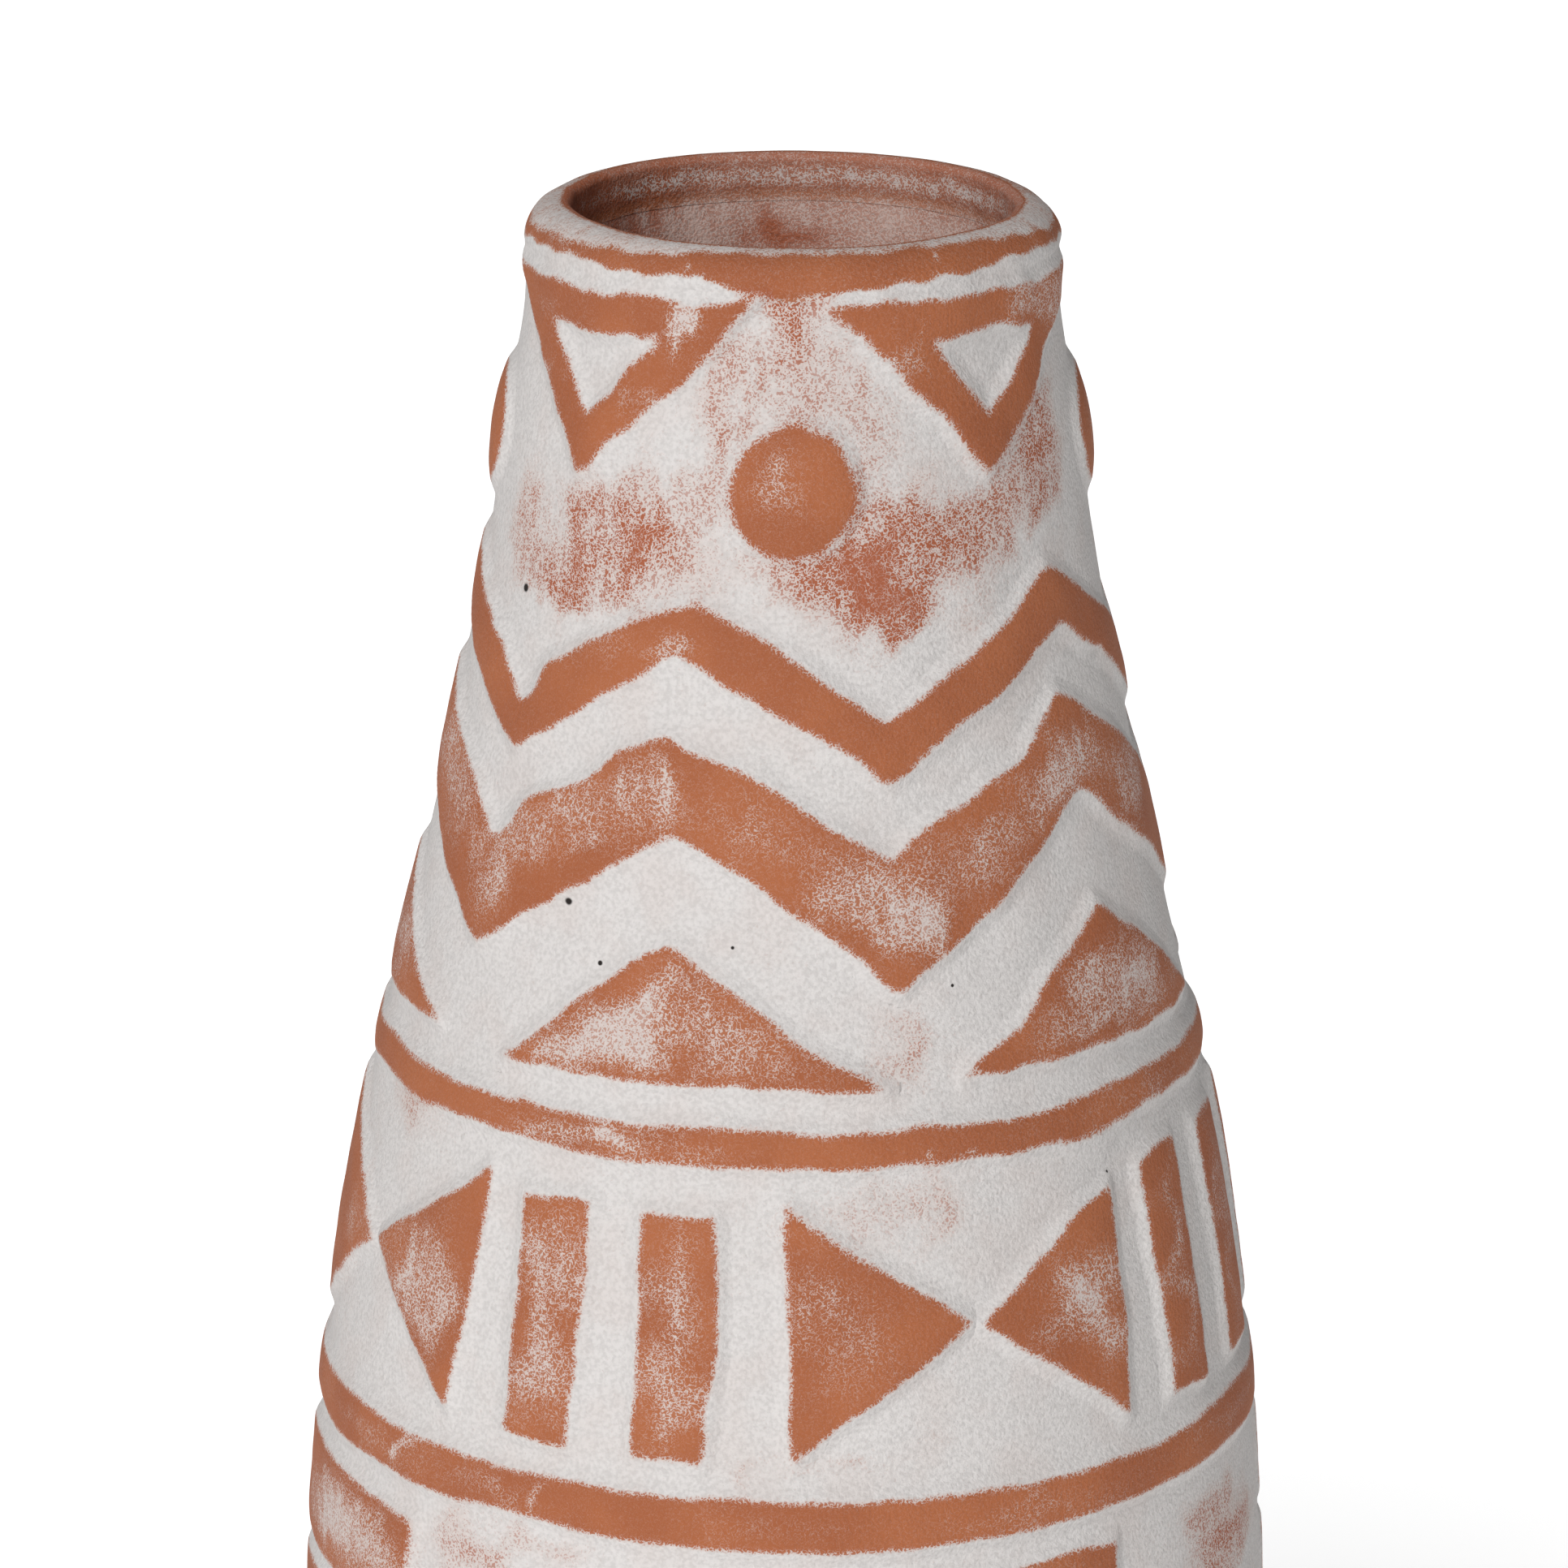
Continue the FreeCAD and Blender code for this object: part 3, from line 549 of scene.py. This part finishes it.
def make_wall(material):
    """The hollow wall: outer surface, top edge, inner surface and bottom edge in one closed skin.

    The rows of the inner surface lie closer together near the mouth, where they show.
    """
    rows = round((WALL_TOP - WALL_BOTTOM) / WALL_STEP)
    columns = round(WALL_GIRTH / WALL_STEP)
    height = np.linspace(WALL_BOTTOM, WALL_TOP, rows)
    inner_height = WALL_TOP - (WALL_TOP - WALL_BOTTOM) * np.linspace(0, 1, rows // 4) ** 1.5
    angle = np.arange(columns) * 360 / columns
    outer_angle, outer_height = np.meshgrid(angle, height)
    inner_angle, inner_level = np.meshgrid(angle, inner_height)
    outer = wall_radius(outer_angle, outer_height)
    inner = wall_radius(inner_angle, inner_level) - WALL_THICKNESS
    points = np.concatenate([to_points(outer_angle, outer, outer_height),
                             to_points(inner_angle, inner, inner_level)])
    slip = np.concatenate([slip_on_ground(outer_angle, outer_height),
                           slip_on_inside(inner_angle, inner_level)])
    wash = WASH_SHARE * inside_wash(inner_angle, inner_level)
    faces = grid_faces(len(points), columns, True, close_rows=True)
    piece = add_mesh("body_wall_clay", points.reshape(-1, 3), faces, material, slip=slip,
                     rubbed=np.zeros(slip.shape), wash=np.concatenate([np.zeros(outer.shape), wash]))
    place(piece, "body_wall")


def turned_piece(name, node, section, looks_of, material, step=1.5):
    """A closed skin turned from a section of radius and height pairs."""
    section = np.array(section, float)
    columns = round(TURN * section[:, 0].max() / step)
    angle = np.arange(columns) * 360 / columns
    angle, radius = np.meshgrid(angle, section[:, 0])
    height = np.repeat(section[:, 1:], columns, axis=1)
    points = to_points(angle, radius + unevenness(angle, height), height).reshape(-1, 3)
    faces = grid_faces(len(section), columns, True, close_rows=True)
    place(add_mesh(name, points, faces, material, **looks_of(angle, radius, height)), node)


def arc(radius, height, size, start, end, count):
    """Points round part of a circle in the section plane."""
    turn = np.radians(np.linspace(start, end, count))
    return [(radius + size * math.cos(t), height + size * math.sin(t)) for t in turn]


def lip_looks(angle, radius, height):
    """White in the groove under the lip, over its crown and inside the mouth; bare along its two edges.

    Places round the lip's section are angles, from 0 at its outer side to 90 at its ridge.
    """
    round_lip = np.degrees(np.arctan2(height - LIP_CENTRE, radius - LIP_RIDGE))
    wander = ripple(angle, height, 13, 102)
    outer_edge = CROWN_OUTER_EDGE - 32 * blots(CROWN_SPREAD, angle, LIP_CROWN, 105) + 2.5 * wander
    crown = smooth((round_lip - outer_edge) / 18 + 0.5) * smooth((CROWN_INNER_EDGE - round_lip) / 8 + 0.5)
    crown *= 1.08 - 0.75 * blots(CROWN_WORN, angle, LIP_CROWN, 106) + 0.06 * ripple(angle, height, 6, 103)
    outer = np.maximum(slip_on_outside(angle, height), SLIP_NONE + crown)
    inside = radius < LIP_RIDGE
    return {"slip": np.where(inside, slip_on_inside(angle, height), outer),
            "rubbed": 1 - 0.75 * smooth((round_lip - 84) / 12),
            "wash": np.where(inside, WASH_SHARE * inside_wash(angle, height), 0)}


def make_lip(material):
    """The lip, which is highest along the mouth; both sides run on into the wall."""
    outer_foot = profile(WALL_TOP)
    section = [(LIP_RIDGE, WALL_TOP - 1.5), (outer_foot - 2, WALL_TOP - 1.5),
               (outer_foot - 0.3, WALL_TOP - 0.7)]
    swell = np.linspace(WALL_TOP, LIP_CENTRE, 4)[:-1]
    missing = LIP_OUTER - outer_foot
    section += [(outer_foot + missing * smooth((z - WALL_TOP) / LIP_SWELL), z) for z in swell]
    rolled = arc(LIP_RIDGE, LIP_CENTRE, LIP_ROLL, 0, 90, 22)
    section += [(r - missing * (1 - smooth((z - WALL_TOP) / LIP_SWELL)), z) for r, z in rolled]
    section += arc(LIP_RIDGE, LIP_CROWN - LIP_ROUNDING, LIP_ROUNDING, 97, 180, 9)
    inner_foot = outer_foot - WALL_THICKNESS
    depth = np.append(np.linspace(LIP_CROWN - LIP_ROUNDING - 0.8, WALL_TOP - 0.8, 9), WALL_TOP - 0.85)
    inward = inner_foot - 0.12 - LIP_INNER
    section += [(LIP_INNER + inward * smooth((LIP_CENTRE + 2 - z) / 3), z) for z in depth]
    section += [(inner_foot + 0.1, WALL_TOP - 0.95), (inner_foot + 0.8, WALL_TOP - 1.4)]
    turned_piece("lip_roll_clay", "lip_roll", section, lip_looks, material, step=0.9)


def foot_looks(angle, _, height):
    """Slip that thins towards the bare ring that the vase stands on."""
    fading = 0.1 + 0.09 * height + 0.15 * ripple(angle, height, 12, 110)
    slip = np.minimum(fading, slip_on_ground(angle, height))
    return {"slip": slip, "rubbed": np.full(slip.shape, 0.5), "wash": np.zeros(slip.shape)}


def make_foot(material):
    """The floor slab and the foot ring, with soft edges."""
    low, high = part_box("floor_slab")
    bottom, top, reach = low.z / MM, high.z / MM, high.x / MM
    inner = profile(WALL_BOTTOM) - WALL_THICKNESS
    edge = reach - RECESS_EDGE
    section = [(0.5, top), (inner - 4, top), (inner + 1, top + 0.6), (inner + 3, top - 0.5),
               (reach - 0.6, top - 0.1), (reach, top), (reach - 1.7, (top + bottom) / 2),
               (edge, bottom + 0.4), (edge - 0.6, bottom), (edge - 8, bottom), (0.5, bottom)]
    turned_piece("floor_slab_clay", "floor_slab", section, foot_looks, material)
    low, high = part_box("foot_ring")
    outer, top = high.x / MM, high.z / MM
    inner = outer - FOOT_WIDTH
    section = [(inner, top), (outer, top)] + arc(outer - FOOT_EDGE, FOOT_EDGE, FOOT_EDGE, 0, -90, 5)
    section += arc(inner + FOOT_EDGE, FOOT_EDGE, FOOT_EDGE, -90, -180, 5)
    turned_piece("foot_ring_clay", "foot_ring", section, foot_looks, material)


# ---------------------------------------------------------------------------------------------------------
# Materials
# ---------------------------------------------------------------------------------------------------------
class Nodes:
    """Short calls for building a node material."""

    def __init__(self, material):
        self.tree = material.node_tree
        self.tree.nodes.clear()

    def add(self, kind, **inputs):
        """A new node with its inputs set or linked."""
        node = self.tree.nodes.new(kind)
        for name, value in inputs.items():
            self.put(node, name, value)
        return node

    def put(self, node, name, value):
        """Links the input to the value if that is a socket, and sets it to the value otherwise."""
        socket = node.inputs[name] if isinstance(name, int) else node.inputs[name.replace("_", " ")]
        if isinstance(value, bpy.types.NodeSocket):
            self.tree.links.new(value, socket)
        else:
            socket.default_value = value

    def attribute(self, name):
        """A value that the mesh carries at each point."""
        node = self.add("ShaderNodeAttribute")
        node.attribute_name = name
        return node.outputs["Fac"]

    def math(self, operation, a, b=0.5, c=0.5):
        """The result of one arithmetic step on up to three values."""
        node = self.add("ShaderNodeMath")
        node.operation = operation
        for i, value in enumerate((a, b, c)):
            self.put(node, i, value)
        return node.outputs[0]

    def noise(self, where, scale, detail=2.0, roughness=0.5, distortion=0.0):
        """Cloudy noise from 0 to 1 with features about 1 / scale wide."""
        node = self.add("ShaderNodeTexNoise", Vector=where, Scale=scale, Detail=detail, Roughness=roughness,
                        Distortion=distortion)
        return node.outputs["Fac"]

    def mix(self, share, a, b):
        """The colour a, going over to the colour b as share grows to 1."""
        node = self.add("ShaderNodeMix")
        node.data_type = "RGBA"
        for name, value in (("Factor", share), ("A", a), ("B", b)):
            sockets = [s for s in node.inputs if s.name == name and s.enabled]
            if isinstance(value, bpy.types.NodeSocket):
                self.tree.links.new(value, sockets[0])
            else:
                sockets[0].default_value = value
        return [s for s in node.outputs if s.enabled][0]

    def ramp(self, value, low, high):
        """0 up to low and 1 from high, smooth between; with low above high it falls instead."""
        node = self.add("ShaderNodeMapRange", Value=value, From_Min=low, From_Max=high)
        node.interpolation_type = "SMOOTHSTEP"
        return node.outputs["Result"]


def colour(red, green, blue):
    """A linear colour from screen values of 0 to 255."""
    channels = [c / 255 for c in (red, green, blue)]
    return tuple(c / 12.92 if c <= 0.04045 else ((c + 0.055) / 1.055) ** 2.4 for c in channels) + (1.0,)


CLAY = colour(162, 95, 60)
CLAY_BROWN = colour(152, 87, 55)
CLAY_RED = colour(156, 88, 61)
CLAY_DUSTY = colour(170, 120, 98)
SLIP = colour(204, 200, 198)
SLIP_GREY = colour(191, 187, 185)
SLIP_PINK = colour(190, 168, 159)
WASH = colour(196, 168, 157)
GRAIN_SPREAD = 0.115    # how far the grain noise strays from its middle value
GRAIN_SCALE, PORE_SCALE, MOTTLE_SCALE = 1580, 3400, 1300    # fine noises, in features per metre
BROAD_SCALE, CLOUD_SCALE = 45, 90                           # coarse noises of the clay and of the slip
SPECK_DARK = colour(36, 30, 28)
SPECK_RUST = colour(84, 40, 24)


def make_clay(name, specks):
    """Terracotta with white slip wherever the slip attribute, broken up by a fine grain, says so."""
    material = bpy.data.materials.new(name)
    material.use_nodes = True
    n = Nodes(material)
    where = n.add("ShaderNodeTexCoord").outputs["Object"]
    slip, rubbed, wash = (n.attribute(look) for look in ("slip", "rubbed", "wash"))
    grain = n.noise(where, GRAIN_SCALE, 1.0, 0.5, 0.3)
    pores = n.noise(where, PORE_SCALE, 1.0)
    mottle = n.noise(where, MOTTLE_SCALE, 2.0)
    broad = n.noise(where, BROAD_SCALE, 3.0)
    cloud = n.noise(where, CLOUD_SCALE, 3.0)
    # Thin slip stays white only in the wiped surface's fine wrinkles, which widen as the slip gets thicker.
    wrinkle = n.math("ABSOLUTE", n.math("SUBTRACT", grain, 0.5))
    reach = n.math("MULTIPLY_ADD", slip, 0.4, 0.3)
    reach = n.math("MULTIPLY_ADD", slip, reach, 0.75)
    reach = n.math("MULTIPLY_ADD", slip, reach, 0.12)
    spread = n.math("MULTIPLY_ADD", reach, GRAIN_SPREAD, n.math("MULTIPLY", wrinkle, -1.0))
    cover = n.ramp(spread, -0.04, 0.04)
    cover = n.math("MULTIPLY", cover, n.math("MULTIPLY_ADD", n.ramp(slip, -0.25, 0.3), 0.65, 0.35))
    cover = n.math("MAXIMUM", cover, n.math("MULTIPLY", n.ramp(slip, 0.42, 1.1), 0.88))
    dusty = n.math("MULTIPLY", n.ramp(slip, 0.0, 0.7), 0.55)
    clay = n.mix(n.ramp(broad, 0.35, 0.65), CLAY, CLAY_BROWN)
    clay = n.mix(n.math("MULTIPLY", n.ramp(pores, 0.5, 0.8), 0.35), clay, CLAY_DUSTY)
    clay = n.mix(rubbed, CLAY_RED, clay)
    clay = n.mix(n.math("MULTIPLY", dusty, rubbed), clay, CLAY_DUSTY)
    white = n.mix(n.ramp(mottle, 0.36, 0.68), SLIP, SLIP_GREY)
    white = n.mix(n.math("MULTIPLY", n.ramp(cloud, 0.44, 0.68), 0.14), white, SLIP_PINK)
    white = n.mix(n.math("MULTIPLY", n.ramp(slip, 1.15, 0.4), 0.7), white, SLIP_PINK)
    tint = n.mix(cover, clay, white)
    tint = n.mix(n.math("MULTIPLY", wash, n.math("MULTIPLY_ADD", mottle, 0.5, 0.5)), tint, WASH)
    for at, level, size, rusty in specks:
        spot = to_points(np.array(at), wall_radius(np.array(at), np.array(level)), level)
        distance = n.add("ShaderNodeVectorMath")
        distance.operation = "DISTANCE"
        n.put(distance, 0, where)
        distance.inputs[1].default_value = [float(x) for x in spot]
        mark = n.ramp(distance.outputs["Value"], size * MM * 1.3, size * MM * 0.7)
        tint = n.mix(mark, tint, SPECK_RUST if rusty else SPECK_DARK)
    height = n.math("MULTIPLY_ADD", grain, 0.9, n.math("MULTIPLY", mottle, 0.7))
    bump = n.add("ShaderNodeBump", Height=height, Strength=0.6, Distance=0.34 * MM)
    shader = n.add("ShaderNodeBsdfPrincipled", Base_Color=tint, Normal=bump.outputs["Normal"],
                   Roughness=n.math("MULTIPLY_ADD", cover, 0.12, 0.8))
    n.put(shader, "Specular IOR Level", 0.25)
    output = n.add("ShaderNodeOutputMaterial", Surface=shader.outputs["BSDF"])
    output.is_active_output = True
    return material


# ---------------------------------------------------------------------------------------------------------
# Floor, backdrop, light and camera
# ---------------------------------------------------------------------------------------------------------
FLOOR_REACH = 6.0       # metres from the vase to the floor's edges
FLOOR_GLOW = 0.58
BACKDROP_RADIUS = 5.5   # metres
WORLD_GLOW = 0.1
SUN_TOWARDS = (0.38, 0.98, -0.82)
SUN_STRENGTH = 2.78
SUN_SPREAD = 40.0
LENS = 162.3            # focal length for a sensor 36 mm wide
CAMERA_ASIDE = -0.00115     # metres along X
CAMERA_BACK = -1.2235       # metres along Y
CAMERA_ABOVE = 0.263        # metres above the lip's crown
CAMERA_DROP = 16.87         # how far the camera looks down
CAMERA_ROLL = 0.257


def make_studio_surface(name, points, faces, shade, glow):
    """A plain studio surface with a glow of its own."""
    mesh = bpy.data.meshes.new(name)
    mesh.from_pydata(points, [], faces)
    surface = bpy.data.objects.new(name, mesh)
    bpy.context.scene.collection.objects.link(surface)
    material = bpy.data.materials.new(name)
    material.use_nodes = True
    shader = material.node_tree.nodes["Principled BSDF"]
    shader.inputs["Base Color"].default_value = shade
    shader.inputs["Roughness"].default_value = 1.0
    shader.inputs["Emission Color"].default_value = (1, 1, 1, 1)
    shader.inputs["Emission Strength"].default_value = glow
    mesh.materials.append(material)
    return surface


def make_floor():
    """A plain pale studio floor."""
    corners = [(FLOOR_REACH * x, FLOOR_REACH * y, 0) for x, y in ((-1, -1), (1, -1), (1, 1), (-1, 1))]
    make_studio_surface("studio_floor", corners, [(0, 1, 2, 3)], colour(243, 243, 243), FLOOR_GLOW)


def make_backdrop():
    """A white dome round the studio that neither lights nor shades the vase."""
    rises, turns = np.radians(np.linspace(-1, 90, 14)), np.radians(np.arange(0, 360, 7.5))
    rises, turns = np.meshgrid(rises, turns, indexing="ij")
    points = np.stack([np.cos(rises) * np.cos(turns), np.cos(rises) * np.sin(turns), np.sin(rises)], axis=-1)
    points = (BACKDROP_RADIUS * points).reshape(-1, 3).tolist()
    faces = grid_faces(*rises.shape, close_columns=True).tolist()
    backdrop = make_studio_surface("studio_backdrop", points, faces, (0, 0, 0, 1), 1.0)
    backdrop.visible_diffuse = backdrop.visible_glossy = backdrop.visible_transmission = False
    backdrop.visible_shadow = False


def make_sun(name, towards, strength, spread):
    """Even light that comes from a direction, softened by its angular size."""
    light = bpy.data.lights.new(name, "SUN")
    light.energy, light.angle = strength, math.radians(spread)
    lamp = bpy.data.objects.new(name, light)
    bpy.context.scene.collection.objects.link(lamp)
    lamp.rotation_mode = "QUATERNION"
    lamp.rotation_quaternion = Vector(towards).to_track_quat("-Z", "Y")


def make_studio():
    """A dim, even sky and one soft sun."""
    world = bpy.data.worlds.new("studio")
    world.use_nodes = True
    background = world.node_tree.nodes["Background"]
    background.inputs["Color"].default_value = (1, 1, 1, 1)
    background.inputs["Strength"].default_value = WORLD_GLOW
    bpy.context.scene.world = world
    make_sun("key", SUN_TOWARDS, SUN_STRENGTH, SUN_SPREAD)
    bpy.context.scene.view_settings.view_transform = "Standard"


def make_camera():
    """A long lens that looks a little down at the lip and leaves the foot below the frame."""
    data = bpy.data.cameras.new("view")
    data.sensor_width = 36.0
    data.lens = LENS
    camera = bpy.data.objects.new("view", data)
    bpy.context.scene.collection.objects.link(camera)
    camera.location = (CAMERA_ASIDE, CAMERA_BACK, LIP_CROWN * MM + CAMERA_ABOVE)
    camera.rotation_mode = "QUATERNION"
    tilt = Euler((math.radians(90 - CAMERA_DROP), 0, 0)).to_quaternion()
    roll = Euler((0, 0, math.radians(CAMERA_ROLL))).to_quaternion()
    camera.rotation_quaternion = tilt @ roll
    bpy.context.scene.camera = camera


# ---------------------------------------------------------------------------------------------------------
# The vase
# ---------------------------------------------------------------------------------------------------------
make_camera()
clay = make_clay("slipped_clay", SPECKS)
make_wall(clay)
make_lip(clay)
make_foot(clay)
plain_nodes = ("body_wall", "lip_roll", "floor_slab", "foot_ring")
motifs = [node for node in sorted(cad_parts) if node not in plain_nodes]
for number, node in enumerate(motifs):
    seed = 1000 + 10 * number
    if node.startswith("dot"):
        make_relief(node, clay, seed, dome=1.2, dome_reach=5.0, rounding=1.1)
    elif node.endswith("zigzag"):
        make_relief(node, clay, seed, rounding=0.9)
    else:
        make_relief(node, clay, seed)
make_floor()
make_backdrop()
make_studio()
